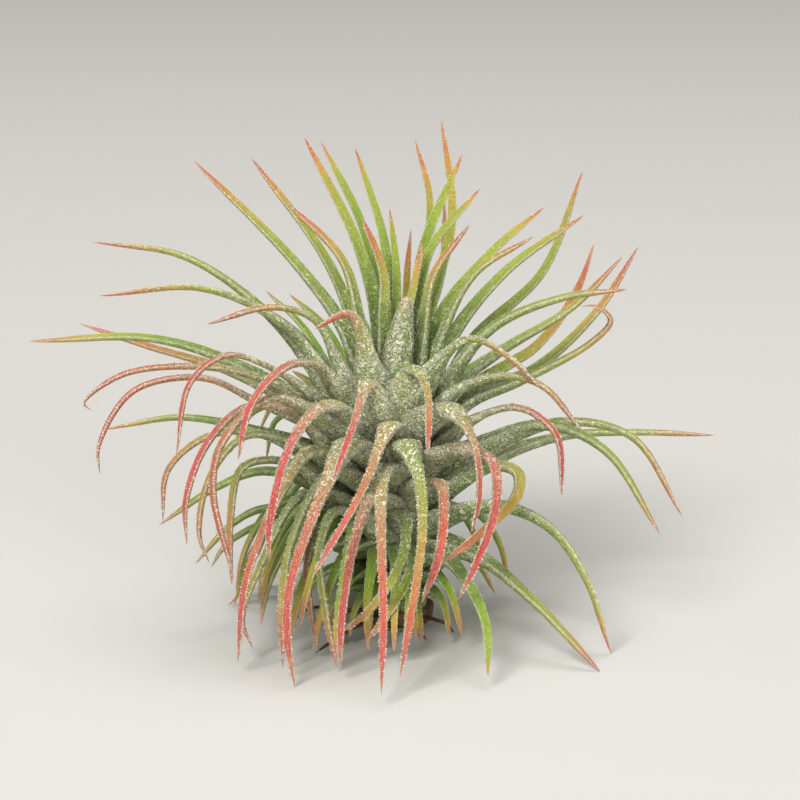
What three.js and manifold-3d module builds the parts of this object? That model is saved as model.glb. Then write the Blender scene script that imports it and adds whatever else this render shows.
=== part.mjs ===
// An air plant: a dense rosette of about 135 narrow, channelled leaves on a short stem.
//
// Millimetres, with +Z up. The origin is the centre of the flat at the foot of the stem, on the
// surface that the plant stands on. Azimuth is measured round the stem's axis: 0 degrees points
// right (+X), 90 to the back (+Y), 180 left and 270 to the front.
//
// A leaf's midline is a smooth curve through a few hand-set points, each [azimuth, reach, height].
// Its section is a channel, wide and hollow at the root and nearly round at the tip.
import * as THREE from "three";
import { mergeVertices } from "three/addons/utils/BufferGeometryUtils.js";
import Module from "manifold-3d";

const wasm = await Module();
wasm.setup();

// ---- driving dimensions

const STEM_PROFILE = [[0, 3.4], [5, 4.2], [13, 5.4], [22, 6.0], [30, 5.2], [36, 3.6], [39, 1.6]];
const STEM_SIDES = 16;

// A free leaf keeps SEAT_GAP from the stem, and a fused one starts ROOT_SINK below its surface.
const SEAT_GAP = 0.3;
const ROOT_SINK = 2.2;

// Along a leaf, with widths as shares of the root's: the blade falls evenly from middle to end, and
// the root swells up from it. At the crest's share of the length, the swelling has fallen to a
// half. The neck narrows where the root meets the stem, and the last stretch closes to POINT_WIDTH.
const LEAF_FORMS = {
  rising: { middle: 0.5, end: 0.22, crest: 0.3, sharpness: 2.5 },
  arching: { middle: 0.44, end: 0.2, crest: 0.34, sharpness: 3.5 },
  hanging: { middle: 0.36, end: 0.19, crest: 0.34, sharpness: 6.5 },
  heart: { middle: 0.2, end: 0.13, crest: 0.44, sharpness: 9 },
  hook: { middle: 0.28, end: 0.15, crest: 0.48, sharpness: 4.5 },
  shaded: { middle: 0.36, end: 0.15, crest: 0.36, sharpness: 4 },
};
const LEAF_STATIONS = 12;
const TIER_STATIONS = 8;
const LEAST_WIDTH = 0.65;
const POINT_WIDTH = 0.6;
const NECK_SHARE = 0.2;
const NECK_WIDTH = 0.5;
const LEAF_ROLL = 14;

// Across a leaf: the thickness is split between the groove and the keel, and the edges rise.
const ROOT_THICKNESS = 1.1;
const TIP_THICKNESS = 0.62;
const GROOVE_SHARE = 0.3;
const KEEL_SHARE = 0.7;
const CHANNEL_RISE = 0.17;

// Corners closer than this are welded into one.
const WELD_DISTANCE = 1e-5;

// ---- colours and roughness of the living leaf, the blushed leaf and the dry parts

const LEAF_GREEN = new THREE.Color("#9fb07a");
const LEAF_BLUSH = new THREE.Color("#d08a72");
const DRY_BROWN = new THREE.Color("#8a6446");
const LEAF_ROUGHNESS = 0.75;
const STEM_ROUGHNESS = 0.8;
const DRY_ROUGHNESS = 0.9;

// ---- first seeds of the groups of leaves, for their roll, and what a tier adds to them

const REAR_LEAF_SEED = 100;
const STEM_LEAF_SEED = 200;
const DRY_LEAF_SEED = 300;
const FOOT_LEAF_SEED = 400;
const SEEDS_A_TIER = 20;
const TIER_DRIFT_SEED = 7;
const TIER_REACH_SEED = 13;
const TIER_LIFT_SEED = 17;

// ---- the leaves that stand free: name, form, root azimuth, root height, root width, blush,
//      and the midline's points [azimuth, reach, height]

const FREE_LEAVES = [
  ["back_01", "rising", 146, 26, 4.2, 0.3, [[146, 9, 41], [144, 18, 50], [150, 34, 64]]],
  ["back_02", "rising", 124, 23, 4.2, 0.3, [[124, 11, 40], [126, 18, 50], [136, 30, 64]]],
  ["back_03", "rising", 158, 30, 4.2, 0.4, [[158, 6, 43], [153, 9, 52], [159, 17, 60]]],
  ["back_04", "rising", 107, 25, 4.6, 0.2, [[107, 10, 41], [112, 16, 52], [125, 24, 67]]],
  ["back_05", "rising", 102, 20, 4.4, 0.2, [[99, 14, 40], [103, 24, 53], [112, 31, 65]]],
  ["back_06", "rising", 126, 31, 4.2, 0.4, [[125, 4, 44], [114, 6, 50], [132, 8, 58]]],
  ["back_07", "rising", 99, 28, 3.8, 0.2, [[99, 8, 44], [101, 13, 54], [111, 18, 66]]],
  ["back_08", "rising", 95, 31, 3.4, 0.2, [[95, 6, 43], [93, 10, 50], [97, 12, 58]]],
  ["back_10", "rising", 79, 32, 3.2, 0.4, [[78, 4, 43], [71, 6, 48], [67, 8, 54]]],
  ["back_11", "rising", 87, 23, 3.6, 0.3, [[83, 13, 40], [78, 21, 57], [85, 25, 66]]],
  ["back_12", "rising", 72, 27, 4.4, 0.2, [[76, 8, 41], [75, 13, 52], [62, 19, 65]]],
  ["back_14", "rising", 60, 30, 4.0, 0.3, [[63, 6, 42], [66, 10, 52], [45, 16, 61]]],
  ["back_15", "rising", 34, 32, 4.0, 0.5, [[36, 4, 42], [39, 6, 50], [28, 11, 57]]],
  ["back_17", "rising", 60, 24, 4.2, 0.2, [[58, 10, 42], [49, 20, 51], [42, 28, 57]]],
  ["back_18", "rising", 14, 30, 3.7, 0.4, [[19, 5.5, 40], [21, 11, 50], [20, 20, 55]]],
  ["back_19", "rising", 50, 21, 4.6, 0.2, [[54, 10, 37], [43, 20, 48], [34, 32, 56]]],

  ["right_01", "rising", 2, 27, 4.6, 0.3, [[2, 7, 36], [8, 13, 43], [8, 23, 47], [7, 32, 48]]],
  ["right_03", "rising", 30, 24, 4.1, 0.3, [[31, 8, 33], [29, 16, 38], [24, 27, 44], [21, 34, 51]]],
  ["right_04", "rising", 43, 19, 4.4, 0.3, [[43, 12, 31], [36, 24, 34], [32, 34, 42], [30, 40, 51]]],
  ["right_05", "rising", 18, 23, 4.0, 0.4,
    [[20, 9, 31], [24, 19, 34], [20, 29, 39], [20, 32, 42], [21, 30, 44], [23, 28, 44]]],
  ["right_06", "hanging", 311, 31, 4.6, 0.4, [[322, 5.8, 38.5], [332, 11, 43], [332, 17, 41], [335, 21, 37]]],
  ["right_07", "hanging", 334, 27, 4.6, 0.4, [[332, 8, 35], [336, 15, 38], [338, 21, 37], [338, 27, 31]]],
  ["right_08", "hanging", 332, 22, 4.2, 0.5, [[332, 9, 30], [333, 18, 34], [332, 24, 31], [328, 26, 23]]],
  ["right_09", "arching", 354, 22, 4.6, 0.2, [[354, 10, 26], [354, 20, 30], [350, 29, 27], [347, 37, 16]]],
  ["right_10", "arching", 14, 19, 4.4, 0.2, [[12, 10, 24], [8, 23, 29], [4, 33, 27], [0, 40, 16]]],
  ["right_11", "arching", 28, 16, 4.4, 0.2, [[33, 12, 21], [28, 26, 24.5], [23, 38, 24.5], [20, 49, 23.5]]],
  ["right_12", "rising", 326, 18, 4.2, 0.3,
    [[325, 9, 22], [325, 16, 26], [325, 19.5, 25.5], [321, 20.5, 23], [302, 20, 18.5], [284, 21, 15]]],
  ["right_13", "rising", 320, 14, 5.0, 0.2,
    [[322, 9, 18], [330, 16, 20], [334, 23, 17.5], [334, 28.5, 11], [336, 32, 0.1]]],
  ["right_14", "rising", 317, 11, 4.6, 0.2, [[312, 9, 14], [318, 15, 13], [321, 24, 8], [323, 34, 0.1]]],
  ["right_15", "rising", 302, 10, 4.2, 0.1, [[297, 10, 13], [298, 16, 13], [297, 25, 8], [293, 30, 2]]],

  ["left_01", "arching", 160, 23, 4.4, 0.2, [[161, 10, 33], [160, 20, 44], [162, 32, 51.5], [163, 46, 53]]],
  ["left_02", "arching", 178, 26, 4.4, 0.3, [[175, 9, 35], [170, 16, 43], [170, 28, 48], [171, 43, 46.5]]],
  ["left_03", "hanging", 198, 30, 4.6, 0.4, [[185, 7.6, 37], [189, 12, 45], [190, 18, 47], [191, 27, 45]]],
  ["left_04", "arching", 165, 20, 4.6, 0.2, [[165, 12, 30], [170, 23, 37], [174, 35, 41], [178, 52, 41]]],
  ["left_05", "arching", 149, 20, 4.0, 0.4, [[146, 14, 28], [152, 28, 34], [156, 40, 37], [159, 50, 40]]],
  ["left_06", "hanging", 183, 22.5, 4.4, 0.5,
    [[186, 11, 31.5], [187, 20, 37], [189, 30, 39], [189, 39, 38], [188, 44, 34], [188, 43, 33]]],
  ["left_07", "hanging", 193, 20, 4.4, 0.6,
    [[193, 11, 29.5], [194, 20, 34], [195, 28, 38], [197, 38, 37], [198, 43, 30], [198, 43, 26]]],
  ["left_08", "hanging", 201, 24.5, 3.8, 0.5,
    [[202, 10, 32.5], [204, 20, 40], [205, 26, 42], [208, 32, 39], [211, 35, 30]]],
  ["left_09", "hanging", 228, 28, 4.8, 0.5,
    [[211, 9, 35], [218, 14, 40], [221, 20, 41], [223, 27, 37], [224, 30, 30]]],
  ["left_10", "arching", 168, 18, 4.2, 0.2, [[169, 12, 25], [170, 22, 28], [169, 32, 29], [171, 43, 27]]],
  ["left_11", "hanging", 209, 18.5, 4.6, 0.6,
    [[210, 10, 26.5], [210, 17, 33.5], [210, 24, 35], [213, 31, 31], [215, 35, 24], [215, 35, 18]]],
  ["left_12", "hanging", 219, 24, 4.6, 0.6,
    [[221, 11, 30.5], [220, 17, 35], [220, 23, 37], [220, 31, 32], [221, 33, 26], [226, 32, 14]]],
  ["left_14", "hanging", 184, 15, 4.2, 0.4,
    [[186, 11, 23.5], [189, 20, 29], [190, 27, 29], [194, 33, 25], [195, 34, 18]]],
  ["left_19", "hanging", 230, 26.5, 4.7, 0.5,
    [[228, 10, 32], [231, 14, 35], [231, 18, 35], [232, 24, 31], [232, 28, 22], [231, 28, 16]]],

  ["heart_02", "hook", 246, 31, 5.0, 0.4, [[228, 6.4, 38], [218, 7, 44], [216, 9, 46.5], [214, 14, 45]]],
  ["heart_03", "heart", 281, 29, 5.4, 0.4,
    [[278, 7, 34.5], [282, 9, 39.5], [285, 14, 37.5], [281, 19.5, 30.5]]],
  ["heart_04", "heart", 249, 27.5, 5.4, 0.5, [[247, 8, 32], [248, 11.5, 38], [248, 17, 33], [246, 22, 27]]],
  ["heart_05", "hanging", 266, 25.5, 4.0, 0.6,
    [[265, 8, 29.5], [263, 13, 32.5], [257, 22, 26], [248, 31, 16]]],
  ["heart_06", "heart", 298, 28, 5.4, 0.5,
    [[294, 7, 31], [301, 13, 34.5], [301, 19, 31.5], [298, 22.5, 25], [294, 23.5, 20]]],

  ["front_01", "hanging", 231, 17.5, 4.5, 0.5,
    [[227, 10, 24.5], [225, 17, 29], [227, 23, 25], [227, 30, 14], [225, 31, 2]]],
  ["front_04", "hanging", 251, 16.5, 4.2, 0.4,
    [[243, 10, 23], [233, 16, 26], [234, 25, 18], [236, 28, 8], [237, 29, 2]]],
  ["front_05", "hanging", 247, 21.5, 5.0, 0.6,
    [[244, 9, 26.5], [242, 15, 30], [242, 21, 26], [240, 29, 14], [240, 30, 8], [242, 30, 0]]],
  ["front_10", "hanging", 263, 18.5, 4.2, 0.5,
    [[263, 9, 24.5], [261, 16, 27], [264, 24, 21], [266, 31, 12], [266, 35, 2]]],
  ["front_11", "hanging", 277, 20.5, 4.5, 0.4,
    [[275, 8, 25.8], [273, 15, 30.5], [277, 20.5, 27.5], [277, 24, 21], [274, 28, 14], [270, 31, 3]]],
  ["front_13", "hanging", 309, 22, 4.8, 0.6,
    [[309, 8, 26.5], [309, 14, 29], [307, 21, 28], [303, 23, 22], [294, 24, 15], [289, 24, 11]]],
];

// ---- the leaves that grow fused to the stem's side: form, root azimuth, root height, root width,
//      and the midline's points

const STEM_LEAVES = [
  ["rising", 86, 17, 3.6, [[87, 14, 37], [87, 20, 47], [86, 23, 53]]],
  ["rising", 84, 15, 4.0, [[82, 18, 35], [77, 28, 46], [78, 32, 56]]],
  ["rising", 78, 19, 4.2, [[78, 16, 39], [74, 28, 54], [79, 32, 68]]],
  ["rising", 60, 17, 4.2, [[55, 17, 37], [47, 31, 47], [45, 38, 61]]],
  ["rising", 64, 14.5, 4.4, [[56, 17, 30], [47, 30, 36], [45, 37, 43], [44, 40, 50]]],
  ["arching", 178, 13, 4.2, [[180, 11, 20], [183, 19, 23], [186, 26, 21], [187, 34, 16]]],
  ["hanging", 203, 16, 4.4,
    [[203, 10, 24.5], [203, 17, 29], [202, 23, 30], [202, 28, 25], [203, 30, 17], [205, 29, 13]]],
  ["hanging", 199, 13, 4.6, [[201, 11, 21.5], [204, 17, 26], [206, 24, 26], [211, 27, 19], [215, 28, 11]]],
  ["arching", 174, 10, 4.2, [[175, 11, 15], [177, 19, 17], [182, 24, 15], [186, 29, 10]]],
  ["arching", 162, 9, 4.0, [[163, 10, 13], [168, 19, 14], [173, 25, 11], [176, 27, 8]]],
  ["hanging", 222, 13, 4.2, [[220, 10, 19.5], [217, 17, 22], [217, 24, 13], [217, 27, 6], [219, 26, 2]]],
  ["hanging", 230, 13, 4.2, [[229, 10, 20], [226, 16, 23], [229, 23, 16], [230, 25, 8], [232, 26, 2]]],
  ["hanging", 226, 10, 3.8, [[226, 9, 16], [223, 15, 18], [225, 18, 13], [230, 19, 7], [234, 19, 1]]],
  ["hanging", 244, 12, 4.4, [[243, 10, 18], [238, 17, 21], [237, 20, 16], [243, 22, 8], [248, 23, 1]]],
  ["hanging", 252, 10, 4.0, [[250, 9, 16], [246, 15, 19], [247, 19, 14], [247, 22, 6], [248, 23, 2]]],
  ["hanging", 260, 14, 4.4, [[258, 9, 20.5], [255, 15, 23], [253, 21, 18], [252, 25, 9], [252, 26, 2]]],
  ["hanging", 284, 17, 4.8, [[284, 9, 23], [289, 17, 25], [287, 20, 22], [283, 23, 17], [277, 24, 11]]],
  ["hanging", 268, 12, 4.2, [[268, 9, 19], [273, 15, 19], [270, 19, 15], [259, 20, 9], [247, 20, 5]]],
  ["hanging", 270, 9, 4.2, [[272, 9, 14], [277, 14, 14], [270, 17, 10], [257, 19, 4]]],
  ["arching", 137, 21, 4.4, [[138, 10, 28.5], [145, 15, 33], [149, 18, 35]]],
];

// ---- the leaves at the back, in tiers: how many, first and last azimuth, root height,
//      root width and the midline's [reach, height] points

const REAR_TIERS = [
  { count: 6, from: 72, to: 122, root: 18, width: 4.2, profile: [[12, 27], [26, 36], [41, 38]] },
  { count: 7, from: 80, to: 138, root: 14.5, width: 4.2,
    profile: [[12, 21], [26, 27], [37, 24], [42, 17]] },
  { count: 8, from: 88, to: 160, root: 11.5, width: 4.2,
    profile: [[12, 16], [22, 17], [32, 9], [36, 0.2]] },
  { count: 6, from: 92, to: 158, root: 8.5, width: 4.0,
    profile: [[11, 11], [19, 10], [26, 4], [30, 0.2]] },
];

// ---- the short leaves in the shade round the stem and its foot, in the same form

const FOOT_TIERS = [
  { count: 5, from: 188, to: 238, root: 14, width: 4.4,
    profile: [[11, 19], [17, 18], [21, 12], [22.5, 6]] },
  { count: 6, from: 186, to: 241, root: 11, width: 4.2,
    profile: [[10, 15], [15, 14], [19, 8], [20.5, 2.4]] },
  { count: 3, from: 254, to: 279, root: 10.6, width: 4.2,
    profile: [[9.5, 14], [13.5, 12.5], [17, 8], [17.5, 2]] },
  { count: 5, from: 205, to: 300, root: 7.5, width: 4.0, profile: [[8.5, 10], [12.5, 8], [15, 2.5]] },
  { count: 5, from: 212, to: 305, root: 5.5, width: 3.6, profile: [[7.5, 7], [10.5, 5.5], [12, 1.6]] },
  { count: 5, from: 92, to: 165, root: 5.5, width: 3.6, profile: [[8, 7.5], [13, 6], [16, 1.6]] },
  { count: 3, from: 38, to: 80, root: 11, width: 4.2, profile: [[10, 15], [15, 14], [20, 8], [22, 2]] },
  { count: 2, from: 32, to: 66, root: 6.5, width: 4.0, profile: [[8.5, 9], [13, 7], [16, 2]] },
];

// ---- how the leaves of a tier stray: in azimuth, in reach, in height towards the tip, and how far
//      any may reach to the side

const TIER_SCATTER = 2;
const TIER_REACH_SPREAD = 0.06;
const TIER_LIFT_SPREAD = 0.09;
const TIER_SIDE_LIMIT = 23;

// ---- the dead leaves, which hang from a dry collar round the stem's foot

const COLLAR_BOTTOM = 0.8;
const COLLAR_TOP = 3.2;
const COLLAR_WALL = 0.9;
const DRY_WIDTH = 2.2;
const DRY_ROOT_HEIGHT = 2;
const DRY_LEAVES = [
  [228, [[228, 8, 2.2], [230, 14, 1.4], [232, 19, 0.8]]],
  [285, [[285, 7, 2], [288, 9, 1.8], [291, 10.5, 0.9]]],
  [252, [[252, 7, 2.2], [254, 9, 2], [257, 11, 0.9]]],
  [318, [[318, 7, 2.2], [319, 8.5, 2], [320, 10, 0.9]]],
  [120, [[120, 8, 2.2], [124, 12, 2], [127, 14, 0.9]]],
  [180, [[180, 8, 2.2], [177, 12, 2.4], [174, 15, 1]]],
];

// ---- the rolled young leaves that stand in the middle as one pointed bud

const BUD_PROFILE = [[33, 2.4], [37, 2.1], [41, 1.75], [44, 1.25], [46.4, 0.8], [47.2, 0.4]];
const BUD_SIDES = 10;
const BUD_OFFSET = 6.9;
const BUD_LEAN = 9.5;

const radians = THREE.MathUtils.degToRad;

function polarPoint([azimuth, reach, height]) {
  const angle = radians(azimuth);
  return new THREE.Vector3(reach * Math.cos(angle), reach * Math.sin(angle), height);
}

function stemRadius(height) {
  const above = STEM_PROFILE.findIndex(([level]) => level > height);
  const [lowLevel, lowRadius] = STEM_PROFILE[above - 1];
  const [highLevel, highRadius] = STEM_PROFILE[above];
  return THREE.MathUtils.mapLinear(height, lowLevel, highLevel, lowRadius, highRadius);
}

// A repeatable number from -1 to 1 for each seed.
function scatter(seed) {
  const wave = Math.sin(seed * 12.9898) * 43758.5453;
  return 2 * (wave - Math.floor(wave)) - 1;
}

// ---- solids

function toSolid(geometry) {
  geometry.deleteAttribute("normal");
  geometry.deleteAttribute("uv");
  const merged = mergeVertices(geometry, WELD_DISTANCE);
  const corners = merged.index.array;
  const kept = [];
  for (let i = 0; i < corners.length; i += 3) {
    const [a, b, c] = corners.slice(i, i + 3);
    if (a !== b && b !== c && c !== a) kept.push(a, b, c);
  }
  return new wasm.Manifold(new wasm.Mesh({
    numProp: 3,
    vertProperties: new Float32Array(merged.attributes.position.array),
    triVerts: new Uint32Array(kept),
  }));
}

function toGeometry(solid) {
  const mesh = solid.getMesh();
  const geometry = new THREE.BufferGeometry();
  geometry.setAttribute("position", new THREE.BufferAttribute(new Float32Array(mesh.vertProperties), 3));
  geometry.setIndex(new THREE.BufferAttribute(new Uint32Array(mesh.triVerts), 1));
  geometry.computeVertexNormals();
  return geometry;
}

function fuse(solids) {
  return solids.reduce((whole, solid) => whole.add(solid));
}

// A turned solid about the stem's axis, from [height, radius] pairs read upwards.
function turnedSolid(profile, sides, extra = 0) {
  const foot = profile[0][0];
  const top = profile[profile.length - 1][0];
  const outline = [new THREE.Vector2(0, foot)];
  profile.forEach(([height, radius]) => outline.push(new THREE.Vector2(radius + extra, height)));
  outline.push(new THREE.Vector2(0, top));
  const lathe = new THREE.LatheGeometry(outline, sides);
  lathe.rotateX(Math.PI / 2);
  return toSolid(lathe);
}

// A leaf is a loft of four-cornered sections along its midline: two edges, the groove between
// them and the keel below. The section's frame is carried along the midline without twisting,
// but for a slow roll that differs from leaf to leaf. A tip that reaches the surface lies flat on it.
function leafSolid(form, rootAzimuth, rootReach, rootHeight, width, points, seed, stations = LEAF_STATIONS) {
  const { middle, end, crest, sharpness } = LEAF_FORMS[form];
  const root = polarPoint([rootAzimuth, rootReach, rootHeight]);
  const midline = new THREE.CatmullRomCurve3([root, ...points.map(polarPoint)], false, "centripetal");
  const rootAngle = radians(rootAzimuth);
  const side = new THREE.Vector3(-Math.sin(rootAngle), Math.cos(rootAngle), 0);
  const roll = radians(LEAF_ROLL * scatter(seed));
  const positions = [];
  for (let station = 0; station <= stations; station += 1) {
    const share = station / stations;
    const centre = midline.getPointAt(share);
    const along = midline.getTangentAt(share);
    side.addScaledVector(along, -side.dot(along)).normalize();
    const across = side.clone().applyAxisAngle(along, roll * share);
    const up = along.clone().cross(across);
    const neck = Math.min(1, NECK_WIDTH + (1 - NECK_WIDTH) * share / NECK_SHARE);
    const blade = THREE.MathUtils.lerp(middle, end, share);
    const swell = (1 - middle) / (1 + (share / crest) ** sharpness);
    const point = station === stations ? POINT_WIDTH : 1;
    const halfWidth = Math.max(LEAST_WIDTH, width * neck * point * (blade + swell)) / 2;
    const thickness = THREE.MathUtils.lerp(ROOT_THICKNESS, TIP_THICKNESS, share);
    const edgeRise = CHANNEL_RISE * 2 * halfWidth * (1 - share);
    const section = [
      [halfWidth, edgeRise],
      [0, GROOVE_SHARE * thickness],
      [-halfWidth, edgeRise],
      [0, -KEEL_SHARE * thickness],
    ];
    section.forEach(([sideways, upwards]) => {
      const corner = centre.clone().addScaledVector(across, sideways).addScaledVector(up, upwards);
      positions.push(corner.x, corner.y, corner.z);
    });
  }
  const triangles = [0, 3, 1, 1, 3, 2];
  for (let station = 0; station < stations; station += 1) {
    for (let corner = 0; corner < 4; corner += 1) {
      const a = 4 * station + corner;
      const b = 4 * station + (corner + 1) % 4;
      triangles.push(a, b, b + 4, a, b + 4, a + 4);
    }
  }
  const tip = 4 * stations;
  triangles.push(tip, tip + 1, tip + 3, tip + 1, tip + 2, tip + 3);
  const geometry = new THREE.BufferGeometry();
  geometry.setAttribute("position", new THREE.Float32BufferAttribute(positions, 3));
  geometry.setIndex(triangles);
  return toSolid(geometry).trimByPlane([0, 0, 1], 0);
}

// ---- the parts

function tierLeaves(tiers, firstSeed) {
  const leaves = [];
  tiers.forEach(({ count, from, to, root, width, profile }, tier) => {
    for (let i = 0; i < count; i += 1) {
      const seed = firstSeed + SEEDS_A_TIER * tier + i;
      const azimuth = from + (to - from) * i / (count - 1) + TIER_SCATTER * scatter(seed);
      const fullReach = profile[profile.length - 1][0];
      const sideShare = TIER_SIDE_LIMIT / (fullReach * Math.abs(Math.cos(radians(azimuth))));
      const spread = 1 + TIER_REACH_SPREAD * scatter(seed + TIER_REACH_SEED);
      const shorten = Math.min(1, sideShare) * spread;
      const lift = TIER_LIFT_SPREAD * scatter(seed + TIER_LIFT_SEED) / (profile.length - 1);
      const points = profile.map(([outwards, height], knot) => {
        const drift = TIER_SCATTER * knot * scatter(seed + TIER_DRIFT_SEED);
        return [azimuth + drift, outwards * shorten, height * (1 + lift * knot)];
      });
      const reach = stemRadius(root) - ROOT_SINK;
      leaves.push(leafSolid("shaded", azimuth, reach, root, width, points, seed, TIER_STATIONS));
    }
  });
  return leaves;
}

function stemSolid() {
  const sideLeaves = STEM_LEAVES.map(([form, azimuth, height, width, points], i) => {
    const reach = stemRadius(height) - ROOT_SINK;
    return leafSolid(form, azimuth, reach, height, width, points, STEM_LEAF_SEED + i);
  });
  const core = turnedSolid(STEM_PROFILE, STEM_SIDES);
  const upright = turnedSolid(BUD_PROFILE, BUD_SIDES).translate([-BUD_OFFSET, 0, 0]);
  const bud = upright.rotate([0, BUD_LEAN, 0]);
  const rearLeaves = tierLeaves(REAR_TIERS, REAR_LEAF_SEED);
  const footLeaves = tierLeaves(FOOT_TIERS, FOOT_LEAF_SEED);
  return fuse([core, bud, ...sideLeaves, ...rearLeaves, ...footLeaves]);
}

function dryLeavesSolid(seat) {
  const levels = [COLLAR_BOTTOM, COLLAR_TOP];
  const wall = levels.map((level) => [level, stemRadius(level) + SEAT_GAP + COLLAR_WALL]);
  const collar = turnedSolid(wall, STEM_SIDES);
  const reach = stemRadius(DRY_ROOT_HEIGHT);
  const leaves = DRY_LEAVES.map(([azimuth, points], i) =>
    leafSolid("arching", azimuth, reach, DRY_ROOT_HEIGHT, DRY_WIDTH, points, DRY_LEAF_SEED + i,
      TIER_STATIONS));
  return fuse([collar, ...leaves]).subtract(seat);
}

function freeLeafMesh([name, form, azimuth, height, width, blush, points], i, seat) {
  const leaf = leafSolid(form, azimuth, stemRadius(height) - ROOT_SINK, height, width, points, i);
  const color = LEAF_GREEN.clone().lerp(LEAF_BLUSH, blush);
  return plantMesh(name, leaf.subtract(seat), color, LEAF_ROUGHNESS);
}

function plantMesh(name, solid, color, roughness) {
  const material = new THREE.MeshStandardMaterial({ color, roughness, metalness: 0 });
  const mesh = new THREE.Mesh(toGeometry(solid), material);
  mesh.name = name;
  return mesh;
}

const airPlant = new THREE.Group();
const seat = turnedSolid(STEM_PROFILE, STEM_SIDES, SEAT_GAP);
airPlant.add(plantMesh("stem", stemSolid(), LEAF_GREEN, STEM_ROUGHNESS));
airPlant.add(plantMesh("dry_leaves", dryLeavesSolid(seat), DRY_BROWN, DRY_ROUGHNESS));
FREE_LEAVES.forEach((row, i) => airPlant.add(freeLeafMesh(row, i, seat)));

export default airPlant;
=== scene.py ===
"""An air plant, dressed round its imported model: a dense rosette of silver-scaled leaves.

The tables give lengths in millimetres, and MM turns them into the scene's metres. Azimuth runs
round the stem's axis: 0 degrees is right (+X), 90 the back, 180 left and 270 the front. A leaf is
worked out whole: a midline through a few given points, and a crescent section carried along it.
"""

import math

import bpy
import numpy as np
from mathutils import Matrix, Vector


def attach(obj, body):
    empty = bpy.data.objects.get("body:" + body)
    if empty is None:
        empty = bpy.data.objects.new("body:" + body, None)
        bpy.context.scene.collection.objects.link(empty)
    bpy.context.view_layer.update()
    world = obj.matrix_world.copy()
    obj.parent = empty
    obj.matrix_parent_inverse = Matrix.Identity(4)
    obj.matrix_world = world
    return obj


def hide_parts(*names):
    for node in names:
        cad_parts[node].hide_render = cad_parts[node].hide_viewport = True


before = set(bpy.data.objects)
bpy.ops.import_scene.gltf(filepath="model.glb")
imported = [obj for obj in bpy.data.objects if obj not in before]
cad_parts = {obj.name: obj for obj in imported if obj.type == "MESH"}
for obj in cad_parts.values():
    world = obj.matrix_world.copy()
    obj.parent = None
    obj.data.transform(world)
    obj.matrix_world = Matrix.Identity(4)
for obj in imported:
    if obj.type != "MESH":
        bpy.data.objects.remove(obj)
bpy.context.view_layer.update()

bl_info = {
    "name": "Air plant",
    "version": (1, 0, 0),
    "blender": (4, 5, 0),
    "location": "3D View > Sidebar > Air plant",
    "description": "Builds a silver-leaved air plant from its leaves' midlines",
    "category": "Add Mesh",
}

MM = 0.001
BODY = "root"

# ---- the stem: (height, radius) read upwards, and how far a leaf's root is sunk into it

STEM_PROFILE = ((0, 3.4), (5, 4.2), (13, 5.4), (22, 6.0), (30, 5.2), (36, 3.6), (39, 1.6))
ROOT_SINK = 2.2

# ---- the leaves that stand free: node, form, root azimuth, root height, root width, where the
#      blush starts as a share of the length, how red it gets, how golden the leaf is before it,
#      and the midline's points (azimuth, reach, height)

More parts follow.
